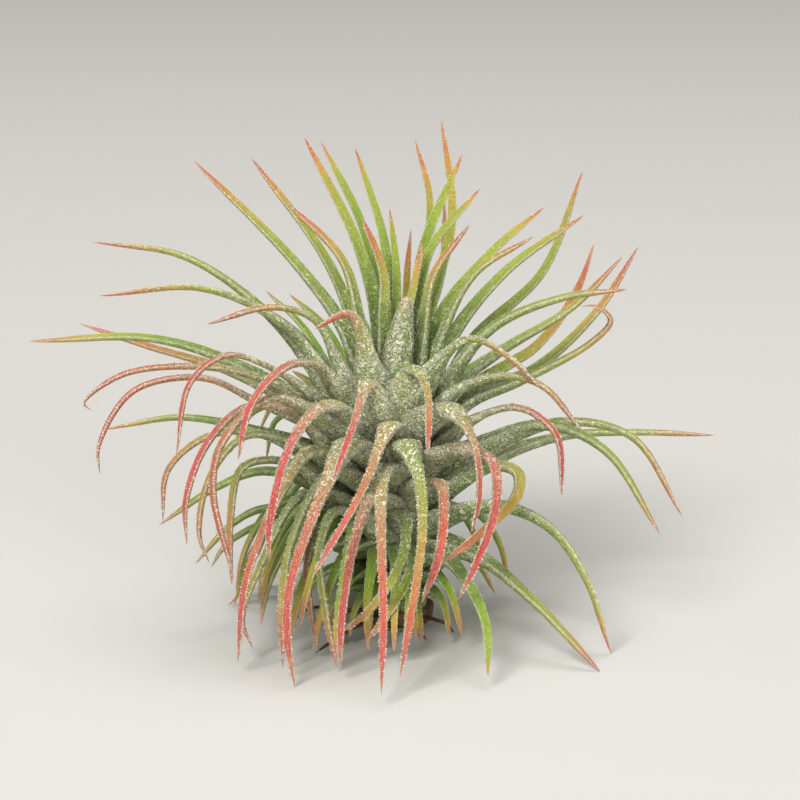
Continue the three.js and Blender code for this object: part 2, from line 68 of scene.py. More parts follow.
FREE_LEAVES = (
    ("back_01", "rising", 146, 26, 4.2, 0.8, 0.65, 0.6,
     ((146, 9, 41), (144, 18, 50), (150, 34, 64))),
    ("back_02", "rising", 124, 23, 4.2, 0.8, 0.58, 0.6,
     ((124, 11, 40), (126, 18, 50), (136, 30, 64))),
    ("back_03", "rising", 158, 30, 4.2, 0.65, 0.58, 0.6,
     ((158, 6, 43), (153, 9, 52), (159, 17, 60))),
    ("back_04", "rising", 107, 25, 4.6, 0.85, 0.58, 0.6,
     ((107, 10, 41), (112, 16, 52), (125, 24, 67))),
    ("back_05", "rising", 102, 20, 4.4, 0.9, 0.22, 0.6,
     ((99, 14, 40), (103, 24, 53), (112, 31, 65))),
    ("back_06", "rising", 126, 31, 4.2, 0.7, 0.65, 0.6, ((125, 4, 44), (114, 6, 50), (132, 8, 58))),
    ("back_07", "rising", 99, 28, 3.8, 0.9, 0.43, 0.6, ((99, 8, 44), (101, 13, 54), (111, 18, 66))),
    ("back_08", "rising", 95, 31, 3.4, 0.9, 0.36, 0.6, ((95, 6, 43), (93, 10, 50), (97, 12, 58))),
    ("back_10", "rising", 79, 32, 3.2, 0.7, 0.36, 0.6, ((78, 4, 43), (71, 6, 48), (67, 8, 54))),
    ("back_11", "rising", 87, 23, 3.6, 0.8, 0.5, 0.6, ((83, 13, 40), (78, 21, 57), (85, 25, 66))),
    ("back_12", "rising", 72, 27, 4.4, 0.9, 0.29, 0.6, ((76, 8, 41), (75, 13, 52), (62, 19, 65))),
    ("back_14", "rising", 60, 30, 4.0, 0.9, 0.5, 0.6, ((63, 6, 42), (66, 10, 52), (45, 16, 61))),
    ("back_15", "rising", 34, 32, 4.0, 0.6, 0.58, 0.6, ((36, 4, 42), (39, 6, 50), (28, 11, 57))),
    ("back_17", "rising", 60, 24, 4.2, 0.85, 0.36, 0.6, ((58, 10, 42), (49, 20, 51), (42, 28, 57))),
    ("back_18", "rising", 14, 30, 3.7, 0.75, 0.65, 0.6,
     ((19, 5.5, 40), (21, 11, 50), (20, 20, 55))),
    ("back_19", "rising", 50, 21, 4.6, 0.9, 0.58, 0.6, ((54, 10, 37), (43, 20, 48), (34, 32, 56))),
    ("right_01", "rising", 2, 27, 4.6, 0.85, 0.72, 0.6,
     ((2, 7, 36), (8, 13, 43), (8, 23, 47), (7, 32, 48))),
    ("right_03", "rising", 30, 24, 4.1, 0.8, 0.65, 0.6,
     ((31, 8, 33), (29, 16, 38), (24, 27, 44), (21, 34, 51))),
    ("right_04", "rising", 43, 19, 4.4, 0.75, 0.72, 0.6,
     ((43, 12, 31), (36, 24, 34), (32, 34, 42), (30, 40, 51))),
    ("right_05", "rising", 18, 23, 4.0, 0.65, 0.5, 0.6,
     ((20, 9, 31), (24, 19, 34), (20, 29, 39), (20, 32, 42), (21, 30, 44), (23, 28, 44))),
    ("right_06", "hanging", 311, 31, 4.6, 0.55, 0.5, 0.8,
     ((322, 5.8, 38.5), (332, 11, 43), (332, 17, 41), (335, 21, 37))),
    ("right_07", "hanging", 334, 27, 4.6, 0.6, 0.7, 0.8,
     ((332, 8, 35), (336, 15, 38), (338, 21, 37), (338, 27, 31))),
    ("right_08", "hanging", 332, 22, 4.2, 0.55, 1, 0,
     ((332, 9, 30), (333, 18, 34), (332, 24, 31), (328, 26, 23))),
    ("right_09", "arching", 354, 22, 4.6, 0.85, 0.5, 0.6,
     ((354, 10, 26), (354, 20, 30), (350, 29, 27), (347, 37, 16))),
    ("right_10", "arching", 14, 19, 4.4, 0.75, 0.8, 0.6,
     ((12, 10, 24), (8, 23, 29), (4, 33, 27), (0, 40, 16))),
    ("right_11", "arching", 28, 16, 4.4, 0.8, 0.7, 0.6,
     ((33, 12, 21), (28, 26, 24.5), (23, 38, 24.5), (20, 49, 23.5))),
    ("right_12", "rising", 326, 18, 4.2, 0.45, 0.45, 1,
     ((325, 9, 22), (325, 16, 26), (325, 19.5, 25.5), (321, 20.5, 23), (302, 20, 18.5),
      (284, 21, 15))),
    ("right_13", "rising", 320, 14, 5.0, 0.85, 0.9, 0.6,
     ((322, 9, 18), (330, 16, 20), (334, 23, 17.5), (334, 28.5, 11), (336, 32, 0.1))),
    ("right_14", "rising", 317, 11, 4.6, 0.85, 0.8, 0.6,
     ((312, 9, 14), (318, 15, 13), (321, 24, 8), (323, 34, 0.1))),
    ("right_15", "rising", 302, 10, 4.2, 0.95, 0.2, 0.6,
     ((297, 10, 13), (298, 16, 13), (297, 25, 8), (293, 30, 2))),
    ("left_01", "arching", 160, 23, 4.4, 0.8, 0.8, 0.8,
     ((161, 10, 33), (160, 20, 44), (162, 32, 51.5), (163, 46, 53))),
    ("left_02", "arching", 178, 26, 4.4, 0.75, 0.9, 0.8,
     ((175, 9, 35), (170, 16, 43), (170, 28, 48), (171, 43, 46.5))),
    ("left_03", "hanging", 198, 30, 4.6, 0.6, 0.9, 1,
     ((185, 7.6, 37), (189, 12, 45), (190, 18, 47), (191, 27, 45))),
    ("left_04", "arching", 165, 20, 4.6, 0.8, 0.2, 0.8,
     ((165, 12, 30), (170, 23, 37), (174, 35, 41), (178, 52, 41))),
    ("left_05", "arching", 149, 20, 4.0, 0.5, 0.6, 0.8,
     ((146, 14, 28), (152, 28, 34), (156, 40, 37), (159, 50, 40))),
    ("left_06", "hanging", 183, 22.5, 4.4, 0.55, 1.0, 0.5,
     ((186, 11, 31.5), (187, 20, 37), (189, 30, 39), (189, 39, 38), (188, 44, 34), (188, 43, 33))),
    ("left_07", "hanging", 193, 20, 4.4, 0.45, 1.0, 0.1,
     ((193, 11, 29.5), (194, 20, 34), (195, 28, 38), (197, 38, 37), (198, 43, 30), (198, 43, 26))),
    ("left_08", "hanging", 201, 24.5, 3.8, 0.55, 1.0, 0.1,
     ((202, 10, 32.5), (204, 20, 40), (205, 26, 42), (208, 32, 39), (211, 35, 30))),
    ("left_09", "hanging", 228, 28, 4.8, 0.5, 1.0, 0.1,
     ((211, 9, 35), (218, 14, 40), (221, 20, 41), (223, 27, 37), (224, 30, 30))),
    ("left_10", "arching", 168, 18, 4.2, 0.8, 0.3, 0.8,
     ((169, 12, 25), (170, 22, 28), (169, 32, 29), (171, 43, 27))),
    ("left_11", "hanging", 209, 18.5, 4.6, 0.4, 1.0, 0.1,
     ((210, 10, 26.5), (210, 17, 33.5), (210, 24, 35), (213, 31, 31), (215, 35, 24),
      (215, 35, 18))),
    ("left_12", "hanging", 219, 24, 4.6, 0.4, 0.9, 0.3,
     ((221, 11, 30.5), (220, 17, 35), (220, 23, 37), (220, 31, 32), (221, 33, 26), (226, 32, 14))),
    ("left_14", "hanging", 184, 15, 4.2, 0.6, 0.6, 0.8,
     ((186, 11, 23.5), (189, 20, 29), (190, 27, 29), (194, 33, 25), (195, 34, 18))),
    ("left_19", "hanging", 230, 26.5, 4.7, 0.45, 1.0, 0,
     ((228, 10, 32), (231, 14, 35), (231, 18, 35), (232, 24, 31), (232, 28, 22), (231, 28, 16))),
    ("heart_02", "hook", 246, 31, 5.0, 0.72, 1.0, 0,
     ((228, 6.4, 38), (218, 7, 44), (216, 9, 46.5), (214, 14, 45))),
    ("heart_03", "heart", 281, 29, 5.4, 0.6, 0.9, 1,
     ((278, 7, 34.5), (282, 9, 39.5), (285, 14, 37.5), (281, 19.5, 30.5))),
    ("heart_04", "heart", 249, 27.5, 5.4, 0.6, 1.0, 0,
     ((247, 8, 32), (248, 11.5, 38), (248, 17, 33), (246, 22, 27))),
    ("heart_05", "hanging", 266, 25.5, 4.0, 0.35, 1.0, 0.7,
     ((265, 8, 29.5), (263, 13, 32.5), (257, 22, 26), (248, 31, 16))),
    ("heart_06", "heart", 298, 28, 5.4, 0.58, 1.0, 0.3,
     ((294, 7, 31), (301, 13, 34.5), (301, 19, 31.5), (298, 22.5, 25), (294, 23.5, 20))),
    ("front_01", "hanging", 231, 17.5, 4.5, 0.5, 1.0, 0.35,
     ((227, 10, 24.5), (225, 17, 29), (227, 23, 25), (227, 30, 14), (225, 31, 2))),
    ("front_04", "hanging", 251, 16.5, 4.2, 0.75, 0.7, 0.8,
     ((243, 10, 23), (233, 16, 26), (234, 25, 18), (236, 28, 8), (237, 29, 2))),
    ("front_05", "hanging", 247, 21.5, 5.0, 0.4, 1.0, 0.25,
     ((244, 9, 26.5), (242, 15, 30), (242, 21, 26), (240, 29, 14), (240, 30, 8), (242, 30, 0))),
    ("front_10", "hanging", 263, 18.5, 4.2, 0.45, 1.0, 0.4,
     ((263, 9, 24.5), (261, 16, 27), (264, 24, 21), (266, 31, 12), (266, 35, 2))),
    ("front_11", "hanging", 277, 20.5, 4.5, 0.56, 0.9, 1,
     ((275, 8, 25.8), (273, 15, 30.5), (277, 20.5, 27.5), (277, 24, 21), (274, 28, 14),
      (270, 31, 3))),
    ("front_13", "hanging", 309, 22, 4.8, 0.35, 1.0, 0.1,
     ((309, 8, 26.5), (309, 14, 29), (307, 21, 28), (303, 23, 22), (294, 24, 15), (289, 24, 11))),
)

# ---- the leaves fused to the stem's side: form, root azimuth, root height, root width, where the
#      blush starts, how red it gets, how golden it is before, and the midline's points

STEM_LEAVES = (
    ("rising", 86, 17, 3.6, 0.65, 0.14, 0.8, ((87, 14, 37), (87, 20, 47), (86, 23, 53))),
    ("rising", 84, 15, 4.0, 0.7, 0.14, 0.8, ((82, 18, 35), (77, 28, 46), (78, 32, 56))),
    ("rising", 78, 19, 4.2, 0.7, 0.22, 1, ((78, 16, 39), (74, 28, 54), (79, 32, 68))),
    ("rising", 60, 17, 4.2, 0.9, 0.65, 0.6, ((55, 17, 37), (47, 31, 47), (45, 38, 61))),
    ("rising", 64, 14.5, 4.4, 0.6, 0.58, 0.8,
     ((56, 17, 30), (47, 30, 36), (45, 37, 43), (44, 40, 50))),
    ("arching", 178, 13, 4.2, 0.85, 0.2, 1,
     ((180, 11, 20), (183, 19, 23), (186, 26, 21), (187, 34, 16))),
    ("hanging", 203, 16, 4.4, 0.65, 0.6, 0.8,
     ((203, 10, 24.5), (203, 17, 29), (202, 23, 30), (202, 28, 25), (203, 30, 17), (205, 29, 13))),
    ("hanging", 199, 13, 4.6, 0.7, 0.8, 0.8,
     ((201, 11, 21.5), (204, 17, 26), (206, 24, 26), (211, 27, 19), (215, 28, 11))),
    ("arching", 174, 10, 4.2, 0.8, 0.2, 0.9,
     ((175, 11, 15), (177, 19, 17), (182, 24, 15), (186, 29, 10))),
    ("arching", 162, 9, 4.0, 0.8, 0.1, 1,
     ((163, 10, 13), (168, 19, 14), (173, 25, 11), (176, 27, 8))),
    ("hanging", 222, 13, 4.2, 0.8, 0.8, 0.7,
     ((220, 10, 19.5), (217, 17, 22), (217, 24, 13), (217, 27, 6), (219, 26, 2))),
    ("hanging", 230, 13, 4.2, 0.8, 0.8, 0.7,
     ((229, 10, 20), (226, 16, 23), (229, 23, 16), (230, 25, 8), (232, 26, 2))),
    ("hanging", 226, 10, 3.8, 0.3, 0.7, 0.9,
     ((226, 9, 16), (223, 15, 18), (225, 18, 13), (230, 19, 7), (234, 19, 1))),
    ("hanging", 244, 12, 4.4, 0.8, 0.7, 0.8,
     ((243, 10, 18), (238, 17, 21), (237, 20, 16), (243, 22, 8), (248, 23, 1))),
    ("hanging", 252, 10, 4.0, 0.85, 0.3, 1,
     ((250, 9, 16), (246, 15, 19), (247, 19, 14), (247, 22, 6), (248, 23, 2))),
    ("hanging", 260, 14, 4.4, 0.4, 1.0, 0.2,
     ((258, 9, 20.5), (255, 15, 23), (253, 21, 18), (252, 25, 9), (252, 26, 2))),
    ("hanging", 284, 17, 4.8, 0.4, 1.0, 0.4,
     ((284, 9, 23), (289, 17, 25), (287, 20, 22), (283, 23, 17), (277, 24, 11))),
    ("hanging", 268, 12, 4.2, 0.7, 0.4, 0.9,
     ((268, 9, 19), (273, 15, 19), (270, 19, 15), (259, 20, 9), (247, 20, 5))),
    ("hanging", 270, 9, 4.2, 0.75, 0.4, 0.9,
     ((272, 9, 14), (277, 14, 14), (270, 17, 10), (257, 19, 4))),
    ("arching", 137, 21, 4.4, 0.9, 0.2, 0.8, ((138, 10, 28.5), (145, 15, 33), (149, 18, 35))),
)
STEM_LEAF_SEED = 200

# ---- the leaves at the back, in tiers: how many, first and last azimuth, root height,
#      root width and the midline's (reach, height) points

REAR_TIERS = (
    (6, 72, 122, 18, 4.2, ((12, 27), (26, 36), (41, 38))),
    (7, 80, 138, 14.5, 4.2, ((12, 21), (26, 27), (37, 24), (42, 17))),
    (8, 88, 160, 11.5, 4.2, ((12, 16), (22, 17), (32, 9), (36, 0.2))),
    (6, 92, 158, 8.5, 4.0, ((11, 11), (19, 10), (26, 4), (30, 0.2))),
)

# ---- the short leaves in the shade round the stem and its foot, in the same form

FOOT_TIERS = (
    (5, 188, 238, 14, 4.4, ((11, 19), (17, 18), (21, 12), (22.5, 6))),
    (6, 186, 241, 11, 4.2, ((10, 15), (15, 14), (19, 8), (20.5, 2.4))),
    (3, 254, 279, 10.6, 4.2, ((9.5, 14), (13.5, 12.5), (17, 8), (17.5, 2))),
    (5, 205, 300, 7.5, 4.0, ((8.5, 10), (12.5, 8), (15, 2.5))),
    (5, 212, 305, 5.5, 3.6, ((7.5, 7), (10.5, 5.5), (12, 1.6))),
    (5, 92, 165, 5.5, 3.6, ((8, 7.5), (13, 6), (16, 1.6))),
    (3, 38, 80, 11, 4.2, ((10, 15), (15, 14), (20, 8), (22, 2))),
    (2, 32, 66, 6.5, 4.0, ((8.5, 9), (13, 7), (16, 2))),
)
FOOT_LEAF_SEED = 400
FOOT_BLUSH_START = 0.7
FOOT_REDNESS = 0.1

REAR_LEAF_SEED = 100
TIER_SCATTER = 2
TIER_SIDE_LIMIT = 23
TIER_REACH_SPREAD = 0.06
TIER_LIFT_SPREAD = 0.09
SEEDS_A_TIER = 20
TIER_DRIFT_SEED = 7
TIER_REACH_SEED = 13
TIER_LIFT_SEED = 17
REAR_BLUSH_START = 0.88
REAR_REDNESS = 0.2
TIER_GOLD = 0.8
TIER_GROUPS = (
    ("rear_leaves", REAR_TIERS, REAR_LEAF_SEED, REAR_BLUSH_START, REAR_REDNESS),
    ("foot_leaves", FOOT_TIERS, FOOT_LEAF_SEED, FOOT_BLUSH_START, FOOT_REDNESS),
)

# ---- the dead leaves, which hang from a dry collar round the stem's foot

DRY_WIDTH = 2.2
SHRIVELLED = 0.65
DRY_ROOT_HEIGHT = 2
DRY_LEAF_SEED = 300
DRY_LEAVES = (
    (228, ((228, 8, 2.2), (230, 14, 1.4), (232, 19, 0.8))),
    (285, ((285, 7, 2), (288, 9, 1.8), (291, 10.5, 0.9))),
    (252, ((252, 7, 2.2), (254, 9, 2), (257, 11, 0.9))),
    (318, ((318, 7, 2.2), (319, 8.5, 2), (320, 10, 0.9))),
    (120, ((120, 8, 2.2), (124, 12, 2), (127, 14, 0.9))),
    (180, ((180, 8, 2.2), (177, 12, 2.4), (174, 15, 1))),
)
COLLAR_PROFILE = ((0.8, 4.2), (1.4, 4.7), (2.4, 4.9), (3.2, 4.8))

# ---- the bud: the youngest leaves, rolled round each other, as (height, radius), with its axis
#      and the seam of its roll

BUD_PROFILE = ((30, 2.7), (33, 2.45), (37, 2.15), (41, 1.78), (44, 1.3), (45.8, 0.95),
               (46.8, 0.68), (47.2, 0.4))
BUD_OFFSET = 6.9
BUD_LEAN = 9.5
BUD_SEAM = 300
BUD_STEP = 0.16
SEAM_TWIST = 0.05
SEAM_LEVEL = 33
SEAM_SHARE = 0.04

# ---- the scars round the stem, as waves (turns, climb), and how far its skin is drawn in

SCAR_WAVES = ((5, 1.3), (3, -0.9))
SCAR_DEPTH = 0.04
STEM_INSET = 0.15

# ---- the marks of the stem and the bud, whose tip blushes and sheds its scales by a high power

YOUNG_RIPENESS = 0.1
CORE_COVER = 0.34
BUD_BLUSH = 0.5
BUD_COVER = 0.72
BUD_THINNING = 0.2
BUD_TIP_POWER = 8
BUD_RIM_POWER = 12

# ---- the forms of leaf. Widths are shares of the root's: the blade falls evenly from middle to
#      end, and the root swells up from it. The swelling is half gone at the crest, a share of the
#      length, and the sharpness is how steeply it falls there. Frost is how much of the leaf is
#      under scales, droop how far its margins hang at the crest, and teeth how large the scales on
#      its margins are.

FORM_TERMS = ("middle", "end", "crest", "sharpness", "frost", "droop", "teeth")
LEAF_FORMS = {name: dict(zip(FORM_TERMS, values)) for name, *values in (
    ("rising", 0.46, 0.18, 0.3, 2.5, 0.54, 0, 0.85),
    ("arching", 0.44, 0.19, 0.34, 3.5, 0.62, 0.04, 0.95),
    ("hanging", 0.37, 0.18, 0.34, 6.5, 0.74, 0.2, 1.5),
    ("heart", 0.22, 0.13, 0.44, 9, 0.8, 0.24, 1.4),
    ("hook", 0.28, 0.15, 0.48, 4.5, 0.74, 0.1, 0.9),
    ("shaded", 0.36, 0.15, 0.36, 4, 0.34, 0.08, 0.9),
)}

# ---- a leaf's shape along its length and across: shares of its length or width, and for the
#      roll degrees, for the bases and the clearance millimetres

CREST_SPREAD = 0.15
CREST_PLUMPNESS = 0.4
BASE_FULLNESS = 0.16
SHEATH_SHARE = 0.1
SHEATH_WIDTH = 0.85
POINT_SHARE = 0.87
POINT_POWER = 0.55
LEAST_POINT = 0.004
LEAF_ROLL = 14
EDGE_RISE = 0.19
CLASP_RISE = 0.16
CLASP_SHARE = 0.14
BLUNTNESS = 0.85
GROOVE_DEPTH = 0.1
GROOVE_BASE = 0.1
BELLY_DEPTH = 0.31
BELLY_BASE = 0.16
UNEVENNESS = 0.012
WAVER_WAVES = (5, 9, 17, 31)
FLOOR_CLEARANCE = 0.05
KNOT_STEPS = 60

# ---- how finely the pieces are meshed: stations along and points round

SHADED_MESH = (80, 20)
DEAD_MESH = (60, 16)
CORE_MESH = (80, 64)
COLLAR_MESH = (30, 72)
BUD_MESH = (90, 64)

# ---- the standing scales: how many of them sit on the margins, how they crowd towards the root,
#      the rings left bare at each end, their tilt from the skin (radians) and their spread of
#      sizes, a scale's breadth, thickness and lift as shares of its length, and one in how many
#      a shaded leaf keeps

MARGIN_FLAKES = 0.6
FLAKE_CROWDING = 1.3
BARE_RINGS = 4
MARGIN_TILT = (0.5, 1.2)
FACE_TILT = (0.2, 0.7)
FLAKE_SPREAD = (0.6, 1.3)
FACE_FLAKE = 0.7
FLAKE_BREADTH = 0.55
FLAKE_THICKNESS = 0.35
FLAKE_LIFT = 0.2
FLAKE_SEED = 7000
BUD_FLAKE_SEED = 9100
SHADED_FLAKES = 3

# ---- how much the cover of scales thins out, from what share of the crest's place, over what
#      length and on what curve, how the upper side and the margins differ, its least and most, and
#      how the colour of the underside lags

THINNING = 0.82
THINNING_START = 0.8
THINNING_LENGTH = 0.46
THINNING_CURVE = 0.9
UPPER_LESS = 0.06
RIM_MORE = 0.12
RIM_NARROWNESS = 14
COVER_RANGE = (0.05, 0.9)
UNDERSIDE_LAG = 0.02
UNDERSIDE_RED = 0.85

# ---- how much silver the scales lend a leaf: where they stand, sparse or dense, as a haze between
#      them, along the fine lines and on the margins

SCALE_SILVER = 0.88
SPARSE_SILVER = 0.5
DENSE_SILVER = 0.75
FLAKE_SILVER = 0.9
HAZE = 0.06
STREAK_SILVER = 0.28
RIM_SILVER = 0.46

# ---- the maze of scales and its dots, the lines along a leaf, its patches and a dead leaf's fibres

MAZE_NOISE = {"Detail": 1.2, "Roughness": 0.5, "Distortion": 1.2}
MAZE_SHARPNESS = 7
DOT_GRAIN = 2.2
DOT_SHARPNESS = 2.2
DOT_SHARE = 0.7
SCALE_EDGE = 4
STREAK_NOISE = {"Scale": 1, "Detail": 2, "Roughness": 0.6}
STREAK_FINENESS = 5
STREAK_LENGTH = 0.45
STREAK_EDGE = 4.5
PATCH_NOISE = {"Scale": 420, "Detail": 3}
PATCH_SHIFT = 0.1
FIBRE_NOISE = {"Scale": 1400, "Detail": 5, "Roughness": 0.65}
FIBRE_STRETCH = (1, 1, 0.25)

# ---- the finish of the surfaces, and the relief of the scales, the fine lines and the fibres

LEAF_ROUGHNESS = 0.5
SCALE_ROUGHNESS = 0.25
LEAF_FINISH = {
    "Specular IOR Level": 0.3, "Sheen Weight": 0.08, "Sheen Roughness": 0.5,
    "Subsurface Weight": 0.12, "Subsurface Scale": 0.0009, "Subsurface Radius": (0.8, 1, 0.3),
}
LEAF_RELIEF = {"Strength": 1, "Distance": 0.0006}
BARE_RELIEF = 0.1
STREAK_RELIEF = 0.12
DEAD_FINISH = {"Roughness": 0.85, "Specular IOR Level": 0.2}
DEAD_RELIEF = {"Strength": 0.7, "Distance": 0.0003}
# dead tissue's brown, partly painted shade: darkened so the collar and dead leaves sink into the
# shade at the stem's foot
DEAD_BROWN_AND_SHADE_STOPS = ((0.3, "#33241a"), (0.7, "#75583c"))

# ---- a living leaf's colours from root to tip: one that stays fresh, one that blushes, and one
#      that turns gold first

TONE_STOPS = (
    ((0.0, "#648a28"), (0.2, "#648c0c"), (0.42, "#7a9e10"), (0.56, "#a0a624"), (0.74, "#b89c34"),
     (0.88, "#c08446"), (0.95, "#c68a6c"), (1.0, "#c8a184")),
    ((0.0, "#648a28"), (0.26, "#78883a"), (0.4, "#a0904c"), (0.5, "#b87a54"), (0.6, "#bf5c4e"),
     (0.74, "#bb3f3d"), (0.92, "#bd4140"), (0.97, "#c27c60"), (1.0, "#b89070")),
    ((0.0, "#648a28"), (0.26, "#76901c"), (0.45, "#969c28"), (0.58, "#b08e34"), (0.72, "#b9703a"),
     (0.84, "#c05446"), (0.93, "#c0564c"), (0.97, "#c68468"), (1.0, "#c8a184")),
)

# ---- the stage, in metres and watts: its lamps as name, place, size and power

FLOOR_HALF = 1.5
FLOOR_ROUGHNESS = 0.9
SENSOR_WIDTH = 36.0
NEAREST_SEEN = 0.01
LIGHTS = (
    ("key", (-0.6, -1.2, 1.3), 0.68, 37.0),
    ("top", (0.2, 0.3, 1.8), 1.0, 15.5),
    ("fill", (0.8, -1.6, 0.5), 1.0, 17.0),
)
LIGHT_AIM = (0, 0, 0.03)
SURROUND = "#dcd9d3"
WORLD_LIGHT = 0.26


def paint(code):
    """A colour from its hexadecimal code, in the linear light that materials work in."""
    shades = [int(code[i:i + 2], 16) / 255 for i in (1, 3, 5)]
    return tuple(v / 12.92 if v <= 0.04045 else ((v + 0.055) / 1.055) ** 2.4 for v in shades)


# ---- numbers along a leaf


SCATTER_STEP = 12.9898
SCATTER_SIZE = 43758.5453


def scatter(seed):
    """A repeatable number from -1 to 1 for each seed, by the fraction of a huge sine."""
    wave = math.sin(seed * SCATTER_STEP) * SCATTER_SIZE
    return 2 * (wave - math.floor(wave)) - 1


def polar(azimuth, reach, height):
    """The point at that azimuth, reach from the stem's axis and height, in millimetres."""
    angle = math.radians(azimuth)
    return (reach * math.cos(angle), reach * math.sin(angle), height)


def stem_radius(height):
    """The stem's radius at a height, straight between the profile's points."""
    levels, radii = zip(*STEM_PROFILE)
    return float(np.interp(height, levels, radii))


def smooth_line(knots, stations):
    """Evenly spaced points on a smooth curve through the knots.

    Each stretch is a cubic that leaves and reaches its knots along the slopes that the
    neighbouring knots give, weighted by the square root of their distances, so that the curve
    neither loops nor overshoots. The points are then spread evenly by length.
    """
    knots = np.asarray(knots, float)
    line = np.vstack([2 * knots[0] - knots[1], knots, 2 * knots[-1] - knots[-2]])
    gap = np.sqrt(np.linalg.norm(np.diff(line, axis=0), axis=1))
    place = np.linspace(0, len(knots) - 1, KNOT_STEPS * len(knots))
    i = np.minimum(place.astype(int), len(knots) - 2)
    t = (place - i)[:, None]
    a, b, c, d = (line[i + k] for k in range(4))
    ab, bc, cd = (gap[i + k][:, None] for k in range(3))
    leave = ((b - a) / ab - (c - a) / (ab + bc) + (c - b) / bc) * bc
    reach = ((c - b) / bc - (d - b) / (bc + cd) + (d - c) / cd) * bc
    fine = (b + leave * t + (3 * (c - b) - 2 * leave - reach) * t ** 2
            + (2 * (b - c) + leave + reach) * t ** 3)
    length = np.concatenate([[0], np.cumsum(np.linalg.norm(np.diff(fine, axis=0), axis=1))])
    even = np.linspace(0, length[-1], stations)
    return np.stack([np.interp(even, length, fine[:, k]) for k in range(3)], axis=1)


def unit(vectors):
    """The vectors, each divided by its own length."""
    return vectors / np.maximum(np.linalg.norm(vectors, axis=-1, keepdims=True), 1e-12)


def section_frames(line, root_azimuth, roll):
    """The directions across and up from a leaf, at each point of its midline.

    The across direction starts level, square to the root's azimuth. It is carried from point to
    point by taking away what lies along the line, and then turns by the leaf's slow roll.
    """
    along = unit(np.gradient(line, axis=0))
    angle = math.radians(root_azimuth)
    across = np.empty_like(line)
    carried = np.array([-math.sin(angle), math.cos(angle), 0.0])
    for i, heading in enumerate(along):
        carried = unit(carried - carried.dot(heading) * heading)
        across[i] = carried
    up = np.cross(along, across)
    turn = math.radians(roll) * np.linspace(0, 1, len(line))[:, None]
    cosine, sine = np.cos(turn), np.sin(turn)
    return across * cosine + up * sine, up * cosine - across * sine


def leaf_width(share, root_width, form):
    """A leaf's width along its length.

    The blade falls evenly from its middle width to its end's. The root swells up from it by one
    over one plus a power of the share over the crest's, and is fuller than the plain solid's by
    a flat-topped bell curve. The sheath at the root narrows evenly.
    """
    blade = form["middle"] + (form["end"] - form["middle"]) * share
    swell = (1 - form["middle"]) / (1 + (share / form["crest"]) ** form["sharpness"])
    sheath = np.minimum(1, SHEATH_WIDTH + (1 - SHEATH_WIDTH) * share / SHEATH_SHARE)
    fuller = 1 + BASE_FULLNESS * np.exp(-(share / form["crest"]) ** 4)
    return root_width * sheath * fuller * (blade + swell)


def waver(share, around, seed, amount):
    """A gentle unevenness over the skin: a few sine waves with seeded phases, added up."""
    rng = np.random.default_rng(seed)
    total = np.zeros(np.broadcast(share, around).shape)
    for waves in WAVER_WAVES:
        phase, turn = rng.uniform(0, 2 * math.pi, 2)
        wave = np.sin(2 * math.pi * waves * share + phase + 2 * np.sin(around + turn))
        total += wave / waves ** 0.5
    return 1 + amount * total


def leaf_skin(terms, root_azimuth, root_height, width, points, seed, mesh_size):
    """The skin of one leaf, as rings of points (station, side, xyz), and where each point is.

    Round the section runs an angle: its cosine goes from one margin to the other, and its sine is
    above or below the blade, both blunted by a power. The blade's level rises with the cosine
    squared, which makes the channel, deepest where the root clasps the stem. Round the crest the
    margins hang instead, by a bell curve along the length, and the blade fattens with them. The
    groove's thickness lies above the blade's level, the belly's below it.
    """
    stations, sides = mesh_size
    root = polar(root_azimuth, stem_radius(root_height) - ROOT_SINK, root_height)
    line = smooth_line([root] + [polar(*point) for point in points], stations)
    across, up = section_frames(line, root_azimuth, LEAF_ROLL * scatter(seed))
    share = np.linspace(0, 1, stations)[:, None]
    angle = np.linspace(0, 2 * math.pi, sides, endpoint=False)[None, :]
    cosine, sine = (np.sign(v) * np.abs(v) ** BLUNTNESS for v in (np.cos(angle), np.sin(angle)))
    point = np.clip((1 - share) / (1 - POINT_SHARE), LEAST_POINT, 1) ** POINT_POWER
    wide = leaf_width(share, width, terms) * point
    droop = terms["droop"] * np.exp(-((share - terms["crest"]) / CREST_SPREAD) ** 2)
    rise = (EDGE_RISE + CLASP_RISE * np.exp(-(share / CLASP_SHARE) ** 2) - droop) * wide
    above = (GROOVE_DEPTH + CREST_PLUMPNESS * droop) * wide + GROOVE_BASE * point
    below = BELLY_DEPTH * wide + BELLY_BASE * point
    uneven = waver(share, angle, seed, UNEVENNESS)
    sideways = wide / 2 * cosine * uneven
    upwards = rise * cosine ** 2 + np.where(sine > 0, above * sine, below * sine) * uneven
    rings = line[:, None] + across[:, None] * sideways[..., None] + up[:, None] * upwards[..., None]
    rings[..., 2] = np.maximum(rings[..., 2], FLOOR_CLEARANCE)
    where = {
        "share": share,
        "side": cosine,
        "length": share * np.linalg.norm(np.diff(line, axis=0), axis=1).sum(),
        "rim": np.abs(cosine) ** RIM_NARROWNESS,
        "upper": np.clip(sine * 3 + 0.5, 0, 1),
    }
    return rings, {name: np.broadcast_to(value, rings.shape[:2]) for name, value in where.items()}


# ---- meshes


def ring_faces(stations, sides):
    """The four-cornered faces between rings of points, and the three-cornered ones at each end."""
    s, r = np.meshgrid(np.arange(stations - 1), np.arange(sides), indexing="ij")
    following = (r + 1) % sides
    quads = np.stack([s * sides + r, s * sides + following,
                      (s + 1) * sides + following, (s + 1) * sides + r], -1).reshape(-1, 4)
    side = np.arange(sides)
    turn = (side + 1) % sides
    low, high = stations * sides, stations * sides + 1
    top = (stations - 1) * sides
    fans = np.concatenate([np.stack([turn, side, np.full(sides, low)], -1),
                           np.stack([top + side, top + turn, np.full(sides, high)], -1)])
    return quads, fans


